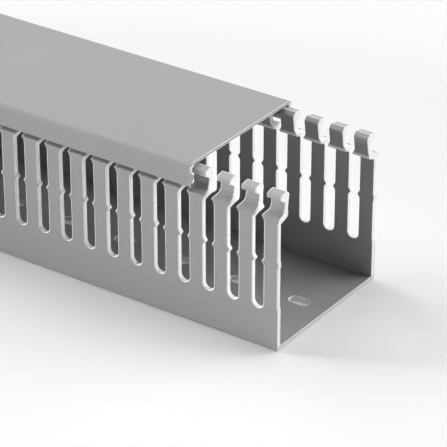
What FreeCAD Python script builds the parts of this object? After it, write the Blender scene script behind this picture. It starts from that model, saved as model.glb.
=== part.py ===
import FreeCAD, Part
import math
import os

# Slotted wire duct with its clip-on cover, a length of cut stock, in millimetres.
# +X runs along the duct towards the end that the cover leaves bare, +Z is up,
# and the origin is the middle of the floor's underside.

# Channel section
DUCT_LENGTH = 500.0
DUCT_WIDTH = 60.0
WALL_THICKNESS = 1.8
FLOOR_THICKNESS = 1.8
OUTER_CORNER_RADIUS = 1.0

# Hooked head on each wall: insets from the wall's outer face, rises above and drops below its shoulder
SHOULDER_HEIGHT = 49.5
SHELF_INSET = 2.9
SHELF_RISE = 1.1
NECK_INSET = 3.8
NECK_RISE = 2.6
BARB_ROOT_INSET = 4.2
BARB_ROOT_RISE = 4.7
NOSE_INSET = 1.6
NOSE_BOTTOM_RISE = 6.3
NOSE_TOP_RISE = 7.9
CREST_INSET = 4.9
CREST_RISE = 8.5
BACK_TOP_INSET = 6.5
BACK_TOP_RISE = 7.3
BACK_FOOT_INSET = 5.4
BACK_FOOT_DROP = 0.5
STEP_FOOT_DROP = 2.1

# Finger slots, punched through both walls
SLOT_PITCH = 10.0
SLOT_WIDTH = 4.5
SLOT_BOTTOM_HEIGHT = 14.5
SLOT_BOTTOM_SIDES = 5
END_SLOT_SHOWING = 0.25

# Break-off notches: pairs of points that narrow each slot
NOTCH_HEIGHT = 32.4
NOTCH_REACH = 0.95
NOTCH_SPREAD = 1.3

# Ears: pairs of points that widen each finger at its shoulder
EAR_REACH = 1.1
EAR_SPREAD = 1.6

# Fixing holes along the middle of the floor
HOLE_PITCH = 25.0
HOLE_LENGTH = 8.5
HOLE_WIDTH = 5.0
FIRST_HOLE_FROM_END = 11.0

# Clip-on cover, which rests on the heads and hooks under their noses
COVER_LENGTH = DUCT_LENGTH
COVER_SETBACK = 35.5
COVER_TOP_THICKNESS = 1.3
COVER_SIDE_THICKNESS = 1.1
COVER_CORNER_RADIUS = 2.0
HEAD_CLEARANCE = 0.3
SHOULDER_CLEARANCE = 1.5
LIP_REACH = 2.7
LIP_TIP_HEIGHT = 0.9
LIP_CLEARANCE = 0.6
LIP_LEAD_IN = 0.5

CUT_MARGIN = 1.0

BARE_END = DUCT_LENGTH / 2
OUTER_FACE = DUCT_WIDTH / 2
HEAD_TOP = SHOULDER_HEIGHT + CREST_RISE
BARB_SLOPE = (NOSE_BOTTOM_RISE - BARB_ROOT_RISE) / (BARB_ROOT_INSET - NOSE_INSET)
COVER_TOP = HEAD_TOP + HEAD_CLEARANCE + COVER_TOP_THICKNESS


def outline(corners, to_vector):
    """Closed wire through corners (a, b, radius), with each corner turned by its radius."""
    points = [FreeCAD.Vector(a, b, 0) for a, b, radius in corners]
    spans = []
    for index, (a, b, radius) in enumerate(corners):
        point = points[index]
        if radius == 0:
            spans.append((point, None, point))
            continue
        to_last = (points[index - 1] - point).normalize()
        to_next = (points[(index + 1) % len(points)] - point).normalize()
        half_angle = to_last.getAngle(to_next) / 2
        setback = radius / math.tan(half_angle)
        bisector = (to_last + to_next).normalize()
        middle = point + bisector * (radius / math.sin(half_angle) - radius)
        spans.append((point + to_last * setback, middle, point + to_next * setback))

    edges = []
    for index, (start, middle, end) in enumerate(spans):
        if middle is not None:
            arc = Part.Arc(*[to_vector(place.x, place.y) for place in (start, middle, end)])
            edges.append(arc.toShape())
        following = spans[(index + 1) % len(spans)][0]
        if end.distanceToPoint(following) > Part.Precision.confusion():
            edges.append(Part.makeLine(to_vector(end.x, end.y), to_vector(following.x, following.y)))
    return Part.Wire(edges)


def mirrored(half):
    """A half outline followed by its mirror image across the second axis."""
    return half + [(-a, b, radius) for a, b, radius in reversed(half)]


def extrude_section(insets, start, length):
    """Solid along X from one wall's section, as corners (inset, height, radius), and its mirror image."""
    near_half = [(inset - OUTER_FACE, height, radius) for inset, height, radius in insets]
    wire = outline(mirrored(near_half), lambda y, z: FreeCAD.Vector(start, y, z))
    return Part.Face(wire).extrude(FreeCAD.Vector(length, 0, 0))


def barb_underside(inset):
    """Height of the barb's sloping underside at an inset from the wall's outer face."""
    return SHOULDER_HEIGHT + BARB_ROOT_RISE + BARB_SLOPE * (BARB_ROOT_INSET - inset)


def stations(first, pitch):
    """Places along X, one pitch apart, from the bare end back to the other end."""
    count = int((first + BARE_END) // pitch) + 1
    return [first - pitch * index for index in range(count)]


def slot_cutter(centre):
    """Prism through both walls: round bottom, notch, narrower mouth between the ears, open top."""
    half_width = SLOT_WIDTH / 2
    turns = [math.pi * (side - 0.5) / SLOT_BOTTOM_SIDES for side in range(1, SLOT_BOTTOM_SIDES // 2 + 1)]
    bottom = [
        (half_width * math.sin(turn), SLOT_BOTTOM_HEIGHT + half_width * (1 - math.cos(turn)), 0)
        for turn in turns
    ]
    side = [
        (half_width, SLOT_BOTTOM_HEIGHT + half_width, 0),
        (half_width, NOTCH_HEIGHT - NOTCH_SPREAD, 0),
        (half_width - NOTCH_REACH, NOTCH_HEIGHT, 0),
        (half_width, NOTCH_HEIGHT + NOTCH_SPREAD, 0),
        (half_width, SHOULDER_HEIGHT - EAR_SPREAD, 0),
        (half_width - EAR_REACH, SHOULDER_HEIGHT, 0),
        (half_width, SHOULDER_HEIGHT + EAR_SPREAD, 0),
        (half_width, HEAD_TOP + CUT_MARGIN, 0),
    ]
    start = -OUTER_FACE - CUT_MARGIN
    wire = outline(mirrored(bottom + side), lambda x, z: FreeCAD.Vector(centre + x, start, z))
    return Part.Face(wire).extrude(FreeCAD.Vector(0, -2 * start, 0))


def fixing_hole_cutter(centre):
    """Obround prism through the floor, long along the duct."""
    half_length = HOLE_LENGTH / 2
    half_width = HOLE_WIDTH / 2
    end = [(half_length, -half_width, half_width), (half_length, half_width, half_width)]
    wire = outline(mirrored(end), lambda x, y: FreeCAD.Vector(centre + x, y, -CUT_MARGIN))
    return Part.Face(wire).extrude(FreeCAD.Vector(0, 0, FLOOR_THICKNESS + 2 * CUT_MARGIN))


def duct_base():
    """U channel with slotted walls, a hooked head on every finger and a row of fixing holes."""
    channel = extrude_section([
        (0, 0, OUTER_CORNER_RADIUS),
        (0, SHOULDER_HEIGHT, 0),
        (SHELF_INSET, SHOULDER_HEIGHT + SHELF_RISE, 0),
        (NECK_INSET, SHOULDER_HEIGHT + NECK_RISE, 0),
        (BARB_ROOT_INSET, barb_underside(BARB_ROOT_INSET), 0),
        (NOSE_INSET, barb_underside(NOSE_INSET), 0),
        (NOSE_INSET, SHOULDER_HEIGHT + NOSE_TOP_RISE, 0),
        (CREST_INSET, HEAD_TOP, 0),
        (BACK_TOP_INSET, SHOULDER_HEIGHT + BACK_TOP_RISE, 0),
        (BACK_FOOT_INSET, SHOULDER_HEIGHT - BACK_FOOT_DROP, 0),
        (WALL_THICKNESS, SHOULDER_HEIGHT - STEP_FOOT_DROP, 0),
        (WALL_THICKNESS, FLOOR_THICKNESS, 0),
    ], -BARE_END, DUCT_LENGTH)
    first_slot = BARE_END + SLOT_WIDTH / 2 - END_SLOT_SHOWING
    slots = [slot_cutter(x) for x in stations(first_slot, SLOT_PITCH)]
    holes = [fixing_hole_cutter(x) for x in stations(BARE_END - FIRST_HOLE_FROM_END, HOLE_PITCH)]
    punched = channel.cut(Part.makeCompound(slots + holes))
    # Crumbs that an end slot leaves beyond its opening fall away as scrap.
    return max(punched.Solids, key=lambda solid: solid.Volume)


def cover():
    """C section lid whose lips hook under the barbs, set back from the bare end."""
    bottom = SHOULDER_HEIGHT + SHOULDER_CLEARANCE
    drop = LIP_CLEARANCE * math.hypot(1, BARB_SLOPE)
    lip_top = barb_underside(LIP_REACH) - drop
    inner_radius = max(COVER_CORNER_RADIUS - COVER_SIDE_THICKNESS, 0)
    return extrude_section([
        (COVER_SIDE_THICKNESS, COVER_TOP - COVER_TOP_THICKNESS, inner_radius),
        (COVER_SIDE_THICKNESS, barb_underside(COVER_SIDE_THICKNESS) - drop, 0),
        (LIP_REACH, lip_top, 0),
        (LIP_REACH, lip_top - LIP_TIP_HEIGHT, 0),
        (LIP_LEAD_IN, bottom, 0),
        (0, bottom, 0),
        (0, COVER_TOP, COVER_CORNER_RADIUS),
    ], BARE_END - COVER_SETBACK - COVER_LENGTH, COVER_LENGTH)


os.makedirs("parts", exist_ok=True)
duct_base().exportStep("parts/duct_base.step")
cover().exportStep("parts/cover.step")
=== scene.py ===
import math

import bmesh
import bpy
from bpy.props import FloatProperty, FloatVectorProperty, PointerProperty
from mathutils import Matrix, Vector


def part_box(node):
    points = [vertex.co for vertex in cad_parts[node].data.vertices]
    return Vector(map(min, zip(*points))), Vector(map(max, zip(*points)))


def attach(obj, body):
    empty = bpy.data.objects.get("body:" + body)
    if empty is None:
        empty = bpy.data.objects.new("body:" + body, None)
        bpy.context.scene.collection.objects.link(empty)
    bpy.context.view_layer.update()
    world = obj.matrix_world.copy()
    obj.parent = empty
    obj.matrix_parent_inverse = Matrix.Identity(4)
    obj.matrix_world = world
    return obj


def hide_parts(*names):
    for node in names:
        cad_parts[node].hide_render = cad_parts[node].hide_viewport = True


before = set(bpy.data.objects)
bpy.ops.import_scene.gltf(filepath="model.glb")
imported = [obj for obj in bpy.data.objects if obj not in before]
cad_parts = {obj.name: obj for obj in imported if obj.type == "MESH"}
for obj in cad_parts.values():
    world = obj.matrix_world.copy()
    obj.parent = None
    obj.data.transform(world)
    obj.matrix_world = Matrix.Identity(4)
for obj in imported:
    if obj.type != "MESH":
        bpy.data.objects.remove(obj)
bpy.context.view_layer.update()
base_low, base_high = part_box("duct_base")
cover_low, cover_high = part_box("cover")

bl_info = {
    "name": "Slotted wire duct",
    "version": (1, 0, 0),
    "blender": (4, 5, 0),
    "location": "3D View > Sidebar > Wire duct",
    "description": "Builds a slotted wire duct, its clip-on cover and the studio round them",
    "category": "Add Mesh",
}

# The corner layer holds the whitening by punch and saw, and painted light too: painted highlights on the heads and
# painted shade on the floor's sawn end.
PUNCH_AND_PAINTED_LIGHT_LAYER = "tool_whitening_with_painted_light"

# Tolerances in metres, and the decimal places that tell two lengths apart
MERGE_DISTANCE = 1e-6
ON_PLANE = 1e-7
LENGTH_PLACES = 7
CLOSEST_FOLDS = 0.00008
PITCHES_PER_METRE = 1e4

# Roundings of the sections, in metres
SHOULDER_ROUND, SHELF_ROUND, NECK_ROUND = 0.0003, 0.0008, 0.0009
BARB_ROUND, NOSE_FOOT_ROUND, NOSE_TOP_ROUND = 0.0004, 0.0003, 0.0005
HEAD_BACK_ROUND = 0.0006
LIP_ROUND, COVER_FOOT_ROUND = 0.0003, 0.0002

# Straight run, in metres, below the first rounding of a head's outer and inner face
OUTER_RUN_UP, INNER_RUN_UP = 0.003, 0.001

# Segments of the roundings: a large one's setback is over LARGE_ROUND
LARGE_ROUND = 0.0015
LARGE_ROUND_SEGMENTS = 8
PUNCHED_ROUND_SEGMENTS, COVER_ROUND_SEGMENTS = 4, 3
LONG_CORNER_STEPS, HEAD_ROUND_STEPS = 6, 4
SLOT_RIM_SEGMENTS, HOLE_FOOT_SEGMENTS, INNER_RIM_SEGMENTS, HOLE_RIM_SEGMENTS = 3, 2, 1, 3
SHARP_TURN = math.radians(38)

# Places on a head painted paler as painted highlights: where its lower inner edge is, and how far under the nose the
# painted highlight on the nose starts
CREASE_RISE, CREASE_HALF_WIDTH = 0.0003, 0.0006
PAINTED_HIGHLIGHT_UNDER_NOSE = 0.0006

# Studio floor and camera, in metres, with the camera's sensor in millimetres
FLOOR_HALF_SIZE = 6.0
FLOOR_DROP = 0.0001
CAMERA_AIM = Vector((0.2128, -0.0081, 0.0272))
SENSOR_WIDTH = 36.0
CLIP_START, CLIP_END = 0.05, 50.0

# Each lamp's name, azimuth, elevation and spread in degrees
LAMPS = (
    ("back_lamp", 180, 65, 50),
    ("back_right_lamp", 137, 14, 50),
    ("left_lamp", 270, 40, 45),
    ("front_lamp", 294, 5, 10),
)

# The plastic's textures: cells per metre along X, Y and Z, and the noise's detail
DRAWN_LINES = ((6.0, 2200.0, 2200.0), 3)
CLOUDING = ((28.0, 28.0, 28.0), 2)
MATTE_GRAIN = ((3600.0, 3600.0, 3600.0), 2)
TOOL_MARKS = ((2600.0, 260.0, 2600.0), 2)

# A noise's middle value, and the shares in which the textures are mixed
NOISE_MIDDLE = 0.5
LINES_IN_TONE, CLOUDS_IN_TONE = 0.5, 0.5
LINES_IN_HEIGHT, GRAIN_IN_HEIGHT = 0.6, 0.4
RAGGED_SPREAD, RAGGED_LEAST = 0.5, 0.75


def length(name, description, default):
    """A length in metres."""
    return FloatProperty(name=name, description=description, default=default, min=0, precision=5, unit="LENGTH")


def share(name, description, default):
    """A plain number from 0 to 1."""
    return FloatProperty(name=name, description=description, default=default, min=0, max=1)


def strength(name, description, default):
    """A lamp's strength, where 1 shows a face that looks straight at it in its own colour."""
    return FloatProperty(name=name, description=description, default=default, min=0)


def colour(name, description, default):
    """A linear colour."""
    return FloatVectorProperty(name=name, description=description, default=default, min=0, max=1, subtype="COLOR")


class DuctSizes(bpy.types.PropertyGroup):
    """Sizes of the channel: its walls, its punched slots and its fixing holes."""

    wall_thickness: length("Wall thickness", "Thickness of the slotted walls", 0.0018)
    floor_thickness: length("Floor thickness", "Thickness of the floor", 0.0018)
    outer_corner: length("Outer corner", "Radius of the long outer corners", 0.0010)
    inner_corner: length("Inner corner", "Radius of the long inner corners", 0.0004)
    slot_pitch: length("Slot pitch", "Distance from slot to slot", 0.010)
    slot_width: length("Slot width", "Width of a finger slot", 0.0045)
    slot_bottom: length("Slot bottom", "Height of the slots' round bottoms", 0.0145)
    slot_showing: length("End slot showing", "How far the cut at the bare end opens its slot", 0.00025)
    notch_height: length("Notch height", "Height of the break-off notches", 0.0324)
    notch_reach: length("Notch reach", "How far a notch's point stands into the slot", 0.00095)
    notch_spread: length("Notch spread", "Half the height of a notch's point", 0.0013)
    ear_reach: length("Ear reach", "How far an ear stands into the slot", 0.0011)
    ear_spread: length("Ear spread", "Half the height of an ear", 0.0016)
    hole_pitch: length("Hole pitch", "Distance from fixing hole to fixing hole", 0.025)
    hole_length: length("Hole length", "Length of a fixing hole along the duct", 0.0081)
    hole_width: length("Hole width", "Width of a fixing hole", 0.0047)
    first_hole: length("First hole", "Distance from the bare end to the first hole's middle", 0.011)
    outer_rim: length("Outer rim", "Rounding of the punched edges on the outer face", 0.0003)
    inner_rim: length("Inner rim", "Rounding of the punched edges on the inner face", 0.00012)
    hole_rim: length("Hole rim", "Rounding of the fixing holes' upper edges", 0.00025)
    notch_tip: length("Notch tip", "Rounding of a notch's point", 0.00028)
    notch_foot: length("Notch foot", "Rounding above and below a notch's point", 0.00035)
    ear_tip: length("Ear tip", "Rounding of an ear's point", 0.0004)
    ear_foot: length("Ear foot", "Rounding above and below an ear's point", 0.0006)
    saw_chamfer: length("Saw chamfer", "Broken edge of the sawn ends", 0.0001)
    torn_edge: length("Torn edge", "Height of the whiter band along the top of the cover's sawn end", 0.0005)


class HeadSizes(bpy.types.PropertyGroup):
    """Sizes of the hooked head on each finger: insets from the wall's face, rises above its shoulder."""

    shoulder_height: length("Shoulder height", "Height of the shoulder under each head", 0.0495)
    shelf_inset: length("Shelf inset", "Inner end of the sloping shelf", 0.0029)
    shelf_rise: length("Shelf rise", "Rise of the shelf's inner end", 0.0011)
    neck_inset: length("Neck inset", "Outer face of the neck at its foot", 0.0038)
    neck_rise: length("Neck rise", "Rise of the neck's foot", 0.0026)
    barb_root_inset: length("Barb root inset", "Outer face of the neck under the barb", 0.0042)
    barb_root_rise: length("Barb root rise", "Rise of the barb's root on the neck", 0.0047)
    nose_inset: length("Nose inset", "Outer face of the barb's nose", 0.0016)
    nose_bottom_rise: length("Nose bottom rise", "Rise of the nose's lower edge", 0.0063)
    nose_top_rise: length("Nose top rise", "Rise of the nose's upper edge", 0.0079)
    crest_inset: length("Crest inset", "Middle of the head's crest", 0.0049)
    crest_width: length("Crest width", "Width of the flat on the head's crest", 0.0003)
    back_top_inset: length("Back top inset", "Upper end of the head's inner face", 0.0065)
    back_top_rise: length("Back top rise", "Rise of the inner face's upper end", 0.0073)
    back_foot_inset: length("Back foot inset", "Lower end of the head's inner face", 0.0054)
    back_foot_drop: length("Back foot drop", "Drop of the inner face's lower end", 0.0005)
    step_foot_drop: length("Step foot drop", "Drop of the inner step's foot", 0.0021)


class CoverSizes(bpy.types.PropertyGroup):
    """Sizes of the clip-on cover."""

    top_thickness: length("Top thickness", "Thickness of the cover's top", 0.0013)
    side_thickness: length("Side thickness", "Thickness of the cover's sides", 0.0011)
    corner: length("Corner", "Radius of the cover's long outer corners", 0.0020)
    lip_reach: length("Lip reach", "How far the lips hook in from the outer face", 0.0027)
    lip_tip: length("Lip tip", "Height of a lip's tip", 0.0009)
    lip_clearance: length("Lip clearance", "Gap between a lip and the barb over it", 0.0006)
    lip_lead_in: length("Lip lead-in", "Flat under each side before its lip slopes up", 0.0005)


class FinishSettings(bpy.types.PropertyGroup):
    """Colours and textures of the plastic, with the painted highlights on the heads and the painted shade on the
    floor's sawn end.
    """

    plastic: colour("Plastic", "Light grey rigid PVC as extruded", (0.336, 0.333, 0.327))
    cut_plastic: colour("Cut plastic", "The same PVC where a punch or saw has whitened it", (0.91, 0.908, 0.90))
    roughness: share("Roughness", "Roughness of the extruded surface", 0.42)
    cut_roughness: share("Cut roughness", "Roughness of punched and sawn faces", 0.64)
    gloss: share("Gloss", "Specular level of the plastic", 0.35)
    shading: share("Shading", "How far lines and clouding vary the colour", 0.05)
    marking: share("Marking", "How far tool marks vary the colour of cut faces", 0.10)
    unevenness: share("Unevenness", "How far the grain varies the roughness", 0.12)
    drawn_depth: length("Drawn depth", "Depth of the drawn lines and grain", 0.000004)
    mark_depth: length("Mark depth", "Depth of the tool marks on cut faces", 0.000020)
    rim_whitening: share("Rim whitening", "How white a punched edge is where it meets the face", 0.60)
    # Painted highlight: a pale line along the heads' lower inner edge.
    painted_crease_highlight: share("Crease whitening", "How white the heads' lower inner edge is", 0.95)
    # Painted light: the necks are painted a little paler, as lit beside the shelf that the nose shades.
    painted_neck_light: share("Neck whitening", "How white the necks are where the cover's lips rub on them", 0.05)
    # Painted highlight: the noses and the head tops above them are painted paler, as the light on them.
    painted_nose_highlight: share("Nose whitening", "How white the noses are where the cover rubs on them", 0.12)
    # Painted shade: the floor's sawn end is painted less white than the other cut faces, and darker still in its
    # lower half towards the floor.
    shaded_sawn_top: share("Sawn top whitening", "How white the floor's sawn end is in its upper half", 0.60)
    shaded_sawn_foot: share("Sawn foot whitening", "How white the floor's sawn end is in its lower half", 0.40)
    cover_end_whitening: share("Cover end whitening", "How white the cover's sawn end is under its torn edge", 0.10)


class StudioSettings(bpy.types.PropertyGroup):
    """Camera, lamps and floor."""

    azimuth: FloatProperty(
        name="Azimuth", description="Camera's angle round the duct from its near side", default=math.radians(35.13),
        subtype="ANGLE")
    elevation: FloatProperty(
        name="Elevation", description="Camera's angle above the floor", default=math.radians(28.49), subtype="ANGLE")
    distance: length("Distance", "Camera's distance from what it looks at", 0.889)
    lens: FloatProperty(name="Lens", description="Focal length in millimetres", default=210.47, min=1)
    floor_colour: colour("Floor", "Pale studio floor", (0.885, 0.885, 0.885))
    floor_lift: share("Floor lift", "How much of the floor's shade the camera doesn't see", 0.12)
    back_lamp: strength("Back lamp", "High lamp behind the duct", 0.40)
    back_right_lamp: strength("Back right lamp", "Lamp behind the bare end", 0.86)
    left_lamp: strength("Left lamp", "Lamp over the covered end", 0.67)
    front_lamp: strength("Front lamp", "Low lamp in front of the covered end", 1.07)


class WireDuctSettings(bpy.types.PropertyGroup):
    """Everything that the panel sets."""

    duct: PointerProperty(type=DuctSizes)
    head: PointerProperty(type=HeadSizes)
    cover: PointerProperty(type=CoverSizes)
    finish: PointerProperty(type=FinishSettings)
    studio: PointerProperty(type=StudioSettings)


def interpolate(stations, place):
    """The value at a place in a rising list of (place, value vector)."""
    last = stations[0]
    for station in stations[1:]:
        if place <= station[0]:
            part = (place - last[0]) / max(station[0] - last[0], ON_PLANE)
            return last[1].lerp(station[1], min(max(part, 0.0), 1.0))
        last = station
    return last[1].copy()


def rounded(corners):
    """A chain of points through a head's corners (a, b, radius), each turned in HEAD_ROUND_STEPS steps."""
    points = [Vector((a, b)) for a, b, radius in corners]
    chain = []
    for index, (a, b, radius) in enumerate(corners):
        point = points[index]
        if radius == 0:
            chain.append(point)
            continue
        to_last = (points[index - 1] - point).normalized()
        to_next = (points[index + 1] - point).normalized()
        half_angle = to_last.angle(to_next) / 2
        setback = radius / math.tan(half_angle)
        for step in range(HEAD_ROUND_STEPS + 1):
            along = step / HEAD_ROUND_STEPS
            start, end = point + to_last * setback, point + to_next * setback
            chain.append((1 - along) ** 2 * start + 2 * along * (1 - along) * point + along ** 2 * end)
    return chain


def new_piece(name, mesh, body, node, material):
    """Shows a finished mesh in place of a node, on its body and with its finish."""
    piece = bpy.data.objects.new(name, mesh)
    bpy.context.scene.collection.objects.link(piece)
    mesh.materials.append(material)
    level = piece.modifiers.new("Level faces", "WEIGHTED_NORMAL")
    level.mode = "FACE_AREA"
    level.keep_sharp = True
    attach(piece, body)
    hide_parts(node)


def finished_mesh(name, bm):
    """A mesh from bm: smooth faces, with sharp edges where they turn by more than SHARP_TURN."""
    mesh = bpy.data.meshes.new(name)
    for face in bm.faces:
        face.smooth = True
    bm.to_mesh(mesh)
    bm.free()
    mesh.set_sharp_from_angle(angle=SHARP_TURN)
    return mesh


def layer_of_whitening_and_painted_light(bm):
    """The corner layer that says how much of a face was punched or sawn, and where it is painted paler as a
    highlight or darker as shade.
    """
    return bm.loops.layers.float.get(PUNCH_AND_PAINTED_LIGHT_LAYER) or bm.loops.layers.float.new(PUNCH_AND_PAINTED_LIGHT_LAYER)


def bevel(bm, geom, affect, offset, segments):
    """Rounds edges, or the corners of a flat face."""
    bmesh.ops.bevel(
        bm, geom=geom, affect=affect, offset=offset, offset_type="OFFSET", segments=segments, profile=0.5,
        clamp_overlap=False, material=-1)


def rounded_face(bm, corners, places, small_segments):
    """A flat face through places, each corner of which is rounded by the setback that ends its row in corners."""
    verts = [bm.verts.new(place) for place in places]
    bm.faces.new(verts)
    for setback in sorted({corner[2] for corner in corners if corner[2]}):
        chosen = [vert for vert, corner in zip(verts, corners) if corner[2] == setback]
        bevel(bm, chosen, "VERTICES", setback, LARGE_ROUND_SEGMENTS if setback > LARGE_ROUND else small_segments)


def extruded(bm, by):
    """Extrudes every face by a vector."""
    made = bmesh.ops.extrude_face_region(bm, geom=bm.faces[:])
    moved = [item for item in made["geom"] if isinstance(item, bmesh.types.BMVert)]
    bmesh.ops.translate(bm, verts=moved, vec=by)


def once(items):
    """Each item once, in the order in which it first comes. A set's order differs from run to run."""
    return list(dict.fromkeys(items))


def everything(bm):
    """All of a mesh's corners, edges and faces."""
    return bm.verts[:] + bm.edges[:] + bm.faces[:]


def whiten_and_shade(faces, cut, amount):
    """Sets how pale some faces are, for the whitening of a tool and for painted shade."""
    for face in faces:
        for loop in face.loops:
            loop[cut] = amount


def split_level(bm, faces, height):
    """Splits faces at a height and gives the faces that result."""
    around = once(item for face in faces for item in (*face.edges, *face.verts))
    made = bmesh.ops.bisect_plane(
        bm, geom=[*faces, *around], dist=ON_PLANE, plane_co=(0, 0, height), plane_no=(0, 0, 1))
    return [item for item in made["geom"] if isinstance(item, bmesh.types.BMFace)]


def between(faces, low, high):
    """The faces that lie between two heights."""
    return [
        face for face in faces
        if all(low - ON_PLANE <= vert.co.z <= high + ON_PLANE for vert in face.verts)
    ]


class DuctBlank:
    """Half of the channel as a flat blank, one repeat long, and the section that it is folded to.

    The blank lies in X and Z: X runs along the duct and Z is the girth, which is the distance from the
    floor's middle line out to the wall and then the half width plus the height up the wall. Y is the depth
    from the outer face.
    """

    def __init__(self, duct, head):
        self.duct = duct
        self.head = head
        self.half_width = base_high.y
        self.top = base_high.z
        self.thickness = duct.wall_thickness
        pitches = (round(pitch * PITCHES_PER_METRE) for pitch in (duct.slot_pitch, duct.hole_pitch))
        self.repeat = math.lcm(*pitches) / PITCHES_PER_METRE
        self.first_slot = base_high.x + duct.slot_width / 2 - duct.slot_showing
        self.last_slot = self.first_slot - self.repeat

    def girth(self, height):
        """Girth of a height on the wall."""
        return self.half_width + height

    def outline(self):
        """Corners (x, girth, setback) of the blank, from the floor's middle line round its slots."""
        duct = self.duct
        corners = [(self.first_slot, 0, 0), (self.first_slot, self.girth(duct.slot_bottom), 0)]
        side = self.finger_side()
        for index in range(round(self.repeat / duct.slot_pitch)):
            middle = self.first_slot - duct.slot_pitch * (index + 0.5)
            corners += [(middle + x, z, setback) for x, z, setback in side]
            corners += [(middle - x, z, setback) for x, z, setback in reversed(side)]
        corners += [(self.last_slot, self.girth(duct.slot_bottom), 0), (self.last_slot, 0, 0)]
        hole_x = base_high.x - duct.first_hole - self.repeat + duct.hole_pitch
        while hole_x < self.first_slot:
            half = duct.hole_length / 2
            deep = duct.hole_width / 2
            corners += [
                (hole_x - half, 0, 0), (hole_x - half, deep, deep),
                (hole_x + half, deep, deep), (hole_x + half, 0, 0),
            ]
            hole_x += duct.hole_pitch
        return corners

    def finger_side(self):
        """Corners (x, girth, setback) up one side of a finger, with x from the finger's middle."""
        duct = self.duct
        edge = (duct.slot_pitch - duct.slot_width) / 2
        notch = self.girth(duct.notch_height)
        ear = self.girth(self.head.shoulder_height)
        return [
            (edge, self.girth(duct.slot_bottom), duct.slot_width / 2),
            (edge, notch - duct.notch_spread, duct.notch_foot),
            (edge + duct.notch_reach, notch, duct.notch_tip),
            (edge, notch + duct.notch_spread, duct.notch_foot),
            (edge, ear - duct.ear_spread, duct.ear_foot),
            (edge + duct.ear_reach, ear, duct.ear_tip),
            (edge, ear + duct.ear_spread, duct.ear_foot),
            (edge, self.girth(self.top), 0),
        ]

    def corner_stations(self):
        """Places (girth, point) from the floor's middle line round the long corner, on both faces."""
        duct = self.duct
        half, thick, floor = self.half_width, self.thickness, duct.floor_thickness
        outer_r, inner_r = duct.outer_corner, duct.inner_corner
        turn_start = half - thick - inner_r
        turn_end = self.girth(floor + inner_r)
        outer = [(0.0, Vector((0, 0))), (turn_start, Vector((turn_start, 0)))]
        inner = [(0.0, Vector((0, floor))), (turn_start, Vector((turn_start, floor)))]
        steps = LONG_CORNER_STEPS
        for step in range(steps + 1):
            angle = math.pi / 2 * step / steps
            place = turn_start + (turn_end - turn_start) * (step + 0.5) / (steps + 1)
            swing, drop = math.sin(angle), 1 - math.cos(angle)
            outer.append((place, Vector((half - outer_r * (1 - swing), outer_r * drop))))
            inner.append((place, Vector((half - thick - inner_r * (1 - swing), floor + inner_r * drop))))
        outer.append((turn_end, Vector((half, floor + inner_r))))
        inner.append((turn_end, Vector((half - thick, floor + inner_r))))
        return outer, inner

    def head_sides(self):
        """Places (height, point) up the outer and the inner face of a head."""
        head, thick = self.head, self.thickness
        shoulder = head.shoulder_height
        outer = rounded([
            (0, shoulder - OUTER_RUN_UP, 0),
            (0, shoulder, SHOULDER_ROUND),
            (head.shelf_inset, shoulder + head.shelf_rise, SHELF_ROUND),
            (head.neck_inset, shoulder + head.neck_rise, NECK_ROUND),
            (head.barb_root_inset, shoulder + head.barb_root_rise, BARB_ROUND),
            (head.nose_inset, shoulder + head.nose_bottom_rise, NOSE_FOOT_ROUND),
            (head.nose_inset, shoulder + head.nose_top_rise, NOSE_TOP_ROUND),
            (head.crest_inset - head.crest_width / 2, self.top, 0),
        ])
        inner = rounded([
            (thick, shoulder - head.step_foot_drop - INNER_RUN_UP, 0),
            (thick, shoulder - head.step_foot_drop, HEAD_BACK_ROUND),
            (head.back_foot_inset, shoulder - head.back_foot_drop, HEAD_BACK_ROUND),
            (head.back_top_inset, shoulder + head.back_top_rise, HEAD_BACK_ROUND),
            (head.crest_inset + head.crest_width / 2, self.top, 0),
        ])
        return [
            [(point.y, Vector((self.half_width - point.x, point.y))) for point in side]
            for side in (outer, inner)
        ]

    def fold_stations(self):
        """Places (girth, point) on the outer and the inner face, each point as (across, height)."""
        outer, inner = self.corner_stations()
        outer_head, inner_head = self.head_sides()
        heights = sorted({round(height, LENGTH_PLACES) for height, point in outer_head + inner_head})
        kept = [heights[0]]
        for height in heights[1:]:
            if height - kept[-1] > CLOSEST_FOLDS:
                kept.append(height)
        kept[-1] = self.top
        for height in kept:
            outer.append((self.girth(height), interpolate(outer_head, height)))
            inner.append((self.girth(height), interpolate(inner_head, height)))
        return outer, inner


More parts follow.
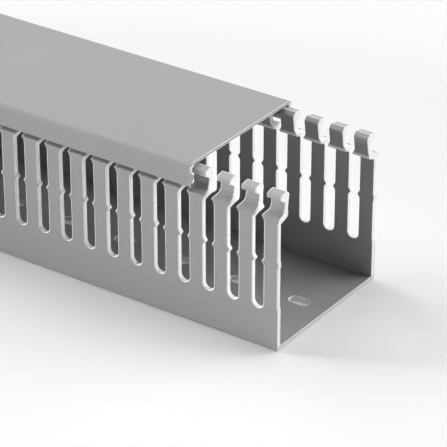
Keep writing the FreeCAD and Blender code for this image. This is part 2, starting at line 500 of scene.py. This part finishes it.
def flat_blank(blank, finish):
    """The flat blank as a slab, with its round corners and the rounded rims of its slots and holes."""
    bm = bmesh.new()
    cut = layer_of_whitening_and_painted_light(bm)
    corners = blank.outline()
    rounded_face(bm, corners, [(x, 0, z) for x, z, setback in corners], PUNCHED_ROUND_SEGMENTS)
    bmesh.ops.remove_doubles(bm, verts=bm.verts, dist=MERGE_DISTANCE)
    extruded(bm, (0, blank.thickness, 0))

    blank_top = blank.girth(blank.top)

    def on_border(face):
        """True for the slab's sides that the next repeat, the other half or the crest takes over."""
        return (
            all(abs(vert.co.x - blank.first_slot) < ON_PLANE for vert in face.verts)
            or all(abs(vert.co.x - blank.last_slot) < ON_PLANE for vert in face.verts)
            or all(vert.co.z < ON_PLANE for vert in face.verts)
            or all(abs(vert.co.z - blank_top) < ON_PLANE for vert in face.verts)
        )

    def is_side(face):
        """True for a face that crosses the slab's thickness."""
        depths = [vert.co.y for vert in face.verts]
        return max(depths) - min(depths) > blank.thickness / 2

    floor_edge = blank.half_width - blank.thickness

    def rim(depth, in_floor):
        """The punched edges at a depth, of the fixing holes or of the slots."""
        return once(
            edge for face in bm.faces if is_side(face) and not on_border(face) for edge in face.edges
            if all(
                abs(vert.co.y - depth) < ON_PLANE and (vert.co.z < floor_edge) == in_floor
                for vert in edge.verts))

    duct = blank.duct
    bevel(bm, rim(0, False), "EDGES", duct.outer_rim, SLOT_RIM_SEGMENTS)
    bevel(bm, rim(0, True), "EDGES", duct.outer_rim, HOLE_FOOT_SEGMENTS)
    bevel(bm, rim(blank.thickness, False), "EDGES", duct.inner_rim, INNER_RIM_SEGMENTS)
    bevel(bm, rim(blank.thickness, True), "EDGES", duct.hole_rim, HOLE_RIM_SEGMENTS)
    for face in bm.faces:
        if len({round(vert.co.y, LENGTH_PLACES) for vert in face.verts}) == 1:
            continue
        for loop in face.loops:
            on_face = min(loop.vert.co.y, blank.thickness - loop.vert.co.y) < ON_PLANE
            loop[cut] = finish.rim_whitening if on_face else 1.0
    borders = [
        face for face in bm.faces
        if on_border(face) and not all(abs(vert.co.z - blank_top) < ON_PLANE for vert in face.verts)
    ]
    bmesh.ops.delete(bm, geom=borders, context="FACES_KEEP_BOUNDARY")
    return bm


def fold(bm, blank, finish):
    """Folds the flat slab to the channel's section and paints the heads' noses, necks and lower inner edge paler, as
    painted highlights.
    """
    cut = layer_of_whitening_and_painted_light(bm)
    outer, inner = blank.fold_stations()
    crease = blank.girth(blank.head.shoulder_height - blank.head.back_foot_drop + CREASE_RISE)
    neck = blank.girth(blank.head.shoulder_height + blank.head.neck_rise)
    nose = blank.girth(blank.head.shoulder_height + blank.head.nose_bottom_rise)
    for girth, point in outer[1:-1]:
        bmesh.ops.bisect_plane(
            bm, geom=everything(bm), dist=ON_PLANE, plane_co=(0, 0, girth), plane_no=(0, 0, 1))
    for vert in bm.verts:
        depth, girth = vert.co.y, vert.co.z
        # Painted highlight along the lower inner edge of each head.
        if depth > blank.thickness / 2 and abs(girth - crease) < CREASE_HALF_WIDTH:
            for loop in vert.link_loops:
                loop[cut] = max(loop[cut], finish.painted_crease_highlight)
        # Painted light on the outer face of each head: paler necks, and paler still noses and tops.
        if depth < blank.thickness / 2 and girth > neck:
            painted_head_light = finish.painted_nose_highlight if girth > nose - PAINTED_HIGHLIGHT_UNDER_NOSE else finish.painted_neck_light
            for loop in vert.link_loops:
                loop[cut] = max(loop[cut], painted_head_light)
        out, back = interpolate(outer, girth), interpolate(inner, girth)
        across = back - out
        # Where the section is thinner than the wall, as on the crest, the rims shrink with it.
        inwards = across.normalized() * min(across.length / blank.thickness, 1.0)
        if depth < blank.thickness / 2:
            place = out + inwards * depth
        else:
            place = back - inwards * (blank.thickness - depth)
        vert.co = (vert.co.x, place.x, place.y)


def break_edge(bm, ends, outward, chamfer):
    """Gives sawn end faces a broken edge."""
    rim = once(vert for face in ends for vert in face.verts)
    bmesh.ops.inset_region(bm, faces=ends, thickness=chamfer, use_even_offset=True, use_boundary=True)
    for vert in rim:
        vert.co.x -= outward * chamfer


def sawn_end(bm, x, outward, sizes, finish):
    """Saws the channel off square at x and closes it with a face that has a broken edge."""
    cut = layer_of_whitening_and_painted_light(bm)
    bmesh.ops.bisect_plane(
        bm, geom=everything(bm), dist=ON_PLANE, plane_co=(x, 0, 0), plane_no=(outward, 0, 0), clear_outer=True)
    rim = [
        edge for edge in bm.edges
        if edge.is_boundary and all(abs(vert.co.x - x) < MERGE_DISTANCE for vert in edge.verts)
    ]
    ends = bmesh.ops.holes_fill(bm, edges=rim, sides=0)["faces"]
    whiten_and_shade(ends, cut, 1.0)
    break_edge(bm, ends, outward, sizes.saw_chamfer)
    # Painted shade: the floor's part of the end is painted less white, darker in its lower half towards the floor.
    top, middle = sizes.floor_thickness, sizes.floor_thickness / 2
    ends = split_level(bm, split_level(bm, ends, top), middle)
    whiten_and_shade(between(ends, middle, top), cut, finish.shaded_sawn_top)
    whiten_and_shade(between(ends, 0, middle), cut, finish.shaded_sawn_foot)


def build_duct_base(settings, material):
    """The channel: a flat blank folded, repeated along the duct, mirrored and sawn to length."""
    sizes, finish = settings.duct, settings.finish
    blank = DuctBlank(sizes, settings.head)
    bm = flat_blank(blank, finish)
    fold(bm, blank, finish)
    source = everything(bm)
    count = math.ceil((blank.first_slot - base_low.x) / blank.repeat)
    for index in range(1, count):
        made = bmesh.ops.duplicate(bm, geom=source)
        verts = [item for item in made["geom"] if isinstance(item, bmesh.types.BMVert)]
        bmesh.ops.translate(bm, verts=verts, vec=(-blank.repeat * index, 0, 0))
    bmesh.ops.remove_doubles(bm, verts=bm.verts, dist=MERGE_DISTANCE)
    bmesh.ops.mirror(bm, geom=everything(bm), axis="Y", merge_dist=MERGE_DISTANCE)
    bmesh.ops.remove_doubles(bm, verts=bm.verts, dist=MERGE_DISTANCE)
    sawn_end(bm, base_high.x, 1, sizes, finish)
    sawn_end(bm, base_low.x, -1, sizes, finish)
    loose = [vert for vert in bm.verts if not vert.link_faces]
    bmesh.ops.delete(bm, geom=loose, context="VERTS")
    bmesh.ops.recalc_face_normals(bm, faces=bm.faces)
    mesh = finished_mesh("duct_base_extrusion", bm)
    new_piece("duct_base_extrusion", mesh, "duct", "duct_base", material)


def cover_outline(cover, head):
    """Corners (across, height, setback) of the cover's section, with its two lips."""
    low, high = cover_low.z, cover_high.z
    slope = (head.nose_bottom_rise - head.barb_root_rise) / (head.barb_root_inset - head.nose_inset)
    drop = cover.lip_clearance * math.hypot(1, slope)

    def underside(inset):
        """Height of the lip's sloping top, which runs along under the barb."""
        return head.shoulder_height + head.barb_root_rise + slope * (head.barb_root_inset - inset) - drop

    half = [
        (cover.side_thickness, high - cover.top_thickness, cover.corner - cover.side_thickness),
        (cover.side_thickness, underside(cover.side_thickness), LIP_ROUND),
        (cover.lip_reach, underside(cover.lip_reach), LIP_ROUND),
        (cover.lip_reach, underside(cover.lip_reach) - cover.lip_tip, LIP_ROUND),
        (cover.lip_lead_in, low, LIP_ROUND),
        (0, low, COVER_FOOT_ROUND),
        (0, high, cover.corner),
    ]
    near = [(inset + cover_low.y, height, setback) for inset, height, setback in half]
    return near + [(-across, height, setback) for across, height, setback in reversed(near)]


def build_cover(settings, material):
    """The cover: its section drawn out along the duct and sawn to length."""
    cover, sizes, finish = settings.cover, settings.duct, settings.finish
    bm = bmesh.new()
    cut = layer_of_whitening_and_painted_light(bm)
    corners = cover_outline(cover, settings.head)
    rounded_face(
        bm, corners, [(cover_low.x, across, height) for across, height, setback in corners], COVER_ROUND_SEGMENTS)
    extruded(bm, (cover_high.x - cover_low.x, 0, 0))
    bmesh.ops.recalc_face_normals(bm, faces=bm.faces)
    for x, outward in ((cover_low.x, -1), (cover_high.x, 1)):
        ends = [face for face in bm.faces if all(abs(vert.co.x - x) < ON_PLANE for vert in face.verts)]
        break_edge(bm, ends, outward, sizes.saw_chamfer)
        whiten_and_shade([
            face for face in bm.faces
            if all(abs(vert.co.x - x) < 2 * sizes.saw_chamfer for vert in face.verts)
        ], cut, 1.0)
        torn, under = cover_high.z - sizes.torn_edge, cover_high.z - cover.top_thickness
        ends = split_level(bm, split_level(bm, ends, torn), under)
        whiten_and_shade(between(ends, under, torn), cut, finish.cover_end_whitening)
    mesh = finished_mesh("cover_extrusion", bm)
    new_piece("cover_extrusion", mesh, "cover", "cover", material)


def node_group(name, inputs, outputs):
    """An empty shader group with float inputs (name, default) and outputs (name)."""
    group = bpy.data.node_groups.new(name, "ShaderNodeTree")
    for title, default in inputs:
        socket = group.interface.new_socket(name=title, in_out="INPUT", socket_type="NodeSocketFloat")
        socket.default_value = default
    for title in outputs:
        group.interface.new_socket(name=title, in_out="OUTPUT", socket_type="NodeSocketFloat")
    return group, group.nodes.new("NodeGroupInput"), group.nodes.new("NodeGroupOutput")


def pattern(tree, texture):
    """A noise value over the object, for a texture (cells, detail)."""
    cells, detail = texture
    place = tree.nodes.new("ShaderNodeTexCoord")
    stretch = tree.nodes.new("ShaderNodeMapping")
    stretch.inputs["Scale"].default_value = cells
    noise = tree.nodes.new("ShaderNodeTexNoise")
    noise.inputs["Scale"].default_value = 1.0
    noise.inputs["Detail"].default_value = detail
    tree.links.new(place.outputs["Object"], stretch.inputs["Vector"])
    tree.links.new(stretch.outputs["Vector"], noise.inputs["Vector"])
    return noise.outputs["Fac"]


def maths(tree, operation, first, second):
    """The result of a sum on two sockets or numbers."""
    node = tree.nodes.new("ShaderNodeMath")
    node.operation = operation
    for socket, value in zip(node.inputs, (first, second)):
        if isinstance(value, bpy.types.NodeSocket):
            tree.links.new(value, socket)
        else:
            socket.default_value = value
    return node.outputs["Value"]


def scaled(tree, value, factor, offset):
    """A value times a factor, plus an offset."""
    return maths(tree, "ADD", maths(tree, "MULTIPLY", value, factor), offset)


def full_swing(tree, noise):
    """A noise value stretched to run from -1 to 1."""
    return maths(tree, "MULTIPLY", maths(tree, "SUBTRACT", noise, NOISE_MIDDLE), 1 / NOISE_MIDDLE)


def blend(tree, factor, first, second):
    """A number between two sockets."""
    node = tree.nodes.new("ShaderNodeMix")
    for name, value in (("Factor", factor), ("A", first), ("B", second)):
        tree.links.new(value, node.inputs[name])
    return node.outputs["Result"]


def drawn_surface_group():
    """Surface that left the die: fine lines along the duct, soft clouding and a matte grain."""
    group, given, result = node_group(
        "drawn_surface", (("Shading", 0.05), ("Roughness", 0.4), ("Unevenness", 0.1)),
        ("Tone", "Roughness", "Height"))
    lines, clouds, grain = (pattern(group, texture) for texture in (DRAWN_LINES, CLOUDING, MATTE_GRAIN))
    mixed = scaled(group, lines, LINES_IN_TONE, maths(group, "MULTIPLY", clouds, CLOUDS_IN_TONE))
    tone = scaled(group, full_swing(group, mixed), given.outputs["Shading"], 1.0)
    speck = maths(group, "SUBTRACT", grain, NOISE_MIDDLE)
    rough = scaled(group, speck, given.outputs["Unevenness"], given.outputs["Roughness"])
    height = scaled(group, lines, LINES_IN_HEIGHT, maths(group, "MULTIPLY", grain, GRAIN_IN_HEIGHT))
    group.links.new(tone, result.inputs["Tone"])
    group.links.new(rough, result.inputs["Roughness"])
    group.links.new(height, result.inputs["Height"])
    return group


def tool_marks_group():
    """Surface that a punch or saw left: scores across the duct, and a ragged edge to the whitening and to the
    painted highlights and shade that share its mask.
    """
    group, given, result = node_group(
        "tool_marks", (("Mask", 0.0), ("Marking", 0.1), ("Roughness", 0.6)),
        ("Mask", "Tone", "Roughness", "Height"))
    scores, grain = (pattern(group, texture) for texture in (TOOL_MARKS, MATTE_GRAIN))
    swing = full_swing(group, scores)
    tone = scaled(group, swing, given.outputs["Marking"], 1.0)
    rough = scaled(group, swing, given.outputs["Marking"], given.outputs["Roughness"])
    ragged = scaled(group, grain, RAGGED_SPREAD, RAGGED_LEAST)
    mask = maths(group, "MINIMUM", maths(group, "MULTIPLY", given.outputs["Mask"], ragged), 1.0)
    group.links.new(mask, result.inputs["Mask"])
    group.links.new(tone, result.inputs["Tone"])
    group.links.new(rough, result.inputs["Roughness"])
    group.links.new(scores, result.inputs["Height"])
    return group


def shaded(tree, base, tone):
    """A colour made paler and darker by a tone."""
    node = tree.nodes.new("ShaderNodeMix")
    node.data_type = "RGBA"
    node.blend_type = "MULTIPLY"
    node.inputs["Factor"].default_value = 1.0
    node.inputs["A"].default_value = (*base, 1)
    tree.links.new(tone, node.inputs["B"])
    return node.outputs["Result"]


def plastic_material(name, finish, drawn_group, marks_group):
    """Light grey PVC: even and matte as extruded, paler and rougher where it was punched or sawn, and where
    highlights and shade are painted through the same layer.
    """
    material = bpy.data.materials.new(name)
    material.use_nodes = True
    tree = material.node_tree
    shader = tree.nodes["Principled BSDF"]
    shader.inputs["Specular IOR Level"].default_value = finish.gloss

    # This layer holds the tool's whitening, and also the painted highlights on the heads and the painted shade on
    # the floor's sawn end.
    whitened_and_painted = tree.nodes.new("ShaderNodeAttribute")
    whitened_and_painted.attribute_name = PUNCH_AND_PAINTED_LIGHT_LAYER
    drawn = tree.nodes.new("ShaderNodeGroup")
    drawn.node_tree = drawn_group
    drawn.inputs["Shading"].default_value = finish.shading
    drawn.inputs["Roughness"].default_value = finish.roughness
    drawn.inputs["Unevenness"].default_value = finish.unevenness
    marks = tree.nodes.new("ShaderNodeGroup")
    marks.node_tree = marks_group
    marks.inputs["Marking"].default_value = finish.marking
    marks.inputs["Roughness"].default_value = finish.cut_roughness
    tree.links.new(whitened_and_painted.outputs["Fac"], marks.inputs["Mask"])
    mask = marks.outputs["Mask"]

    colours = tree.nodes.new("ShaderNodeMix")
    colours.data_type = "RGBA"
    tree.links.new(mask, colours.inputs["Factor"])
    tree.links.new(shaded(tree, finish.plastic, drawn.outputs["Tone"]), colours.inputs["A"])
    tree.links.new(shaded(tree, finish.cut_plastic, marks.outputs["Tone"]), colours.inputs["B"])
    tree.links.new(colours.outputs["Result"], shader.inputs["Base Color"])
    rough = blend(tree, mask, drawn.outputs["Roughness"], marks.outputs["Roughness"])
    tree.links.new(rough, shader.inputs["Roughness"])

    raised = maths(tree, "MULTIPLY", drawn.outputs["Height"], finish.drawn_depth)
    scored = maths(tree, "MULTIPLY", marks.outputs["Height"], finish.mark_depth)
    bump = tree.nodes.new("ShaderNodeBump")
    bump.inputs["Strength"].default_value = 1.0
    bump.inputs["Distance"].default_value = 1.0
    tree.links.new(blend(tree, mask, raised, scored), bump.inputs["Height"])
    tree.links.new(bump.outputs["Normal"], shader.inputs["Normal"])
    return material


def piece_plastic(name, finish):
    """A piece's own plastic, on the shader groups that the pieces share."""
    groups = bpy.data.node_groups
    drawn = groups.get("drawn_surface") or drawn_surface_group()
    marks = groups.get("tool_marks") or tool_marks_group()
    return plastic_material(name, finish, drawn, marks)


def floor_material(studio):
    """Matte pale floor that keeps a soft shadow."""
    material = bpy.data.materials.new("studio_floor")
    material.use_nodes = True
    tree = material.node_tree
    paint = tree.nodes["Principled BSDF"]
    paint.inputs["Base Color"].default_value = (*studio.floor_colour, 1)
    paint.inputs["Roughness"].default_value = 1.0
    paint.inputs["Specular IOR Level"].default_value = 0.0
    glow = tree.nodes.new("ShaderNodeEmission")
    ray = tree.nodes.new("ShaderNodeLightPath")
    lift = maths(tree, "MULTIPLY", ray.outputs["Is Camera Ray"], studio.floor_lift)
    seen = tree.nodes.new("ShaderNodeMixShader")
    tree.links.new(lift, seen.inputs["Fac"])
    tree.links.new(paint.outputs["BSDF"], seen.inputs[1])
    tree.links.new(glow.outputs["Emission"], seen.inputs[2])
    tree.links.new(seen.outputs["Shader"], tree.nodes["Material Output"].inputs["Surface"])
    return material


def studio_world():
    """White surroundings that the camera and gloss see, and that cast no light of their own."""
    world = bpy.data.worlds.new("studio_world")
    world.use_nodes = True
    tree = world.node_tree
    surroundings = tree.nodes["Background"]
    surroundings.inputs["Color"].default_value = (1, 1, 1, 1)
    ray = tree.nodes.new("ShaderNodeLightPath")
    seen = maths(tree, "MAXIMUM", ray.outputs["Is Camera Ray"], ray.outputs["Is Glossy Ray"])
    tree.links.new(seen, surroundings.inputs["Strength"])
    return world


def direction(azimuth, elevation):
    """Unit vector towards a place round the duct: azimuth 0 is its near side."""
    return Vector((
        math.sin(azimuth) * math.cos(elevation), -math.cos(azimuth) * math.cos(elevation), math.sin(elevation)))


def build_floor(scene, studio):
    """The studio floor, just under the duct."""
    bm = bmesh.new()
    bmesh.ops.create_grid(bm, x_segments=1, y_segments=1, size=FLOOR_HALF_SIZE)
    bmesh.ops.translate(bm, verts=bm.verts, vec=(0, 0, -FLOOR_DROP))
    mesh = bpy.data.meshes.new("studio_floor")
    bm.to_mesh(mesh)
    bm.free()
    floor = bpy.data.objects.new("studio_floor", mesh)
    scene.collection.objects.link(floor)
    mesh.materials.append(floor_material(studio))


def build_lamps(scene, studio):
    """The lamps, each a sun that shines on the duct from its own side."""
    for name, azimuth, elevation, spread in LAMPS:
        lamp = bpy.data.lights.new(name, "SUN")
        lamp.energy = math.pi * getattr(studio, name)
        lamp.angle = math.radians(spread)
        placed = bpy.data.objects.new(name, lamp)
        scene.collection.objects.link(placed)
        towards = direction(math.radians(azimuth), math.radians(elevation))
        placed.rotation_euler = towards.to_track_quat("Z", "Y").to_euler()


def build_camera(scene, studio):
    """The camera, which looks down at the bare end from the near side."""
    camera = bpy.data.cameras.new("camera")
    camera.lens = studio.lens
    camera.sensor_width = SENSOR_WIDTH
    camera.clip_start, camera.clip_end = CLIP_START, CLIP_END
    view = bpy.data.objects.new("camera", camera)
    scene.collection.objects.link(view)
    back = direction(studio.azimuth, studio.elevation)
    view.location = CAMERA_AIM + back * studio.distance
    view.rotation_euler = back.to_track_quat("Z", "Y").to_euler()
    scene.camera = view


class WIREDUCT_OT_build_base(bpy.types.Operator):
    """Builds the slotted channel"""

    bl_idname = "wire_duct.build_base"
    bl_label = "Build channel"

    def execute(self, context):
        settings = context.scene.wire_duct
        build_duct_base(settings, piece_plastic("channel_plastic", settings.finish))
        return {"FINISHED"}


class WIREDUCT_OT_build_cover(bpy.types.Operator):
    """Builds the clip-on cover"""

    bl_idname = "wire_duct.build_cover"
    bl_label = "Build cover"

    def execute(self, context):
        settings = context.scene.wire_duct
        build_cover(settings, piece_plastic("cover_plastic", settings.finish))
        return {"FINISHED"}


class WIREDUCT_OT_build_studio(bpy.types.Operator):
    """Builds the floor, the lamps and the camera"""

    bl_idname = "wire_duct.build_studio"
    bl_label = "Build studio"

    def execute(self, context):
        scene = context.scene
        studio = scene.wire_duct.studio
        scene.view_settings.view_transform = "Standard"
        build_floor(scene, studio)
        scene.world = studio_world()
        build_lamps(scene, studio)
        build_camera(scene, studio)
        return {"FINISHED"}


class WIREDUCT_PT_panel(bpy.types.Panel):
    """Sizes, colours and build buttons of the wire duct"""

    bl_idname = "WIREDUCT_PT_panel"
    bl_label = "Wire duct"
    bl_space_type = "VIEW_3D"
    bl_region_type = "UI"
    bl_category = "Wire duct"

    def draw(self, context):
        settings = context.scene.wire_duct
        for group in (settings.duct, settings.head, settings.cover, settings.finish, settings.studio):
            box = self.layout.box()
            for name in group.bl_rna.properties.keys():
                if name not in {"rna_type", "name"}:
                    box.prop(group, name)
        for operator in OPERATORS:
            self.layout.operator(operator.bl_idname)


OPERATORS = (WIREDUCT_OT_build_base, WIREDUCT_OT_build_cover, WIREDUCT_OT_build_studio)
GROUPS = (DuctSizes, HeadSizes, CoverSizes, FinishSettings, StudioSettings, WireDuctSettings)


def register():
    for cls in GROUPS + OPERATORS + (WIREDUCT_PT_panel,):
        bpy.utils.register_class(cls)
    bpy.types.Scene.wire_duct = PointerProperty(type=WireDuctSettings)


def unregister():
    del bpy.types.Scene.wire_duct
    for cls in reversed(GROUPS + OPERATORS + (WIREDUCT_PT_panel,)):
        bpy.utils.unregister_class(cls)


def main():
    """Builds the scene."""
    register()
    bpy.ops.wire_duct.build_base()
    bpy.ops.wire_duct.build_cover()
    bpy.ops.wire_duct.build_studio()


if __name__ == "__main__":
    main()
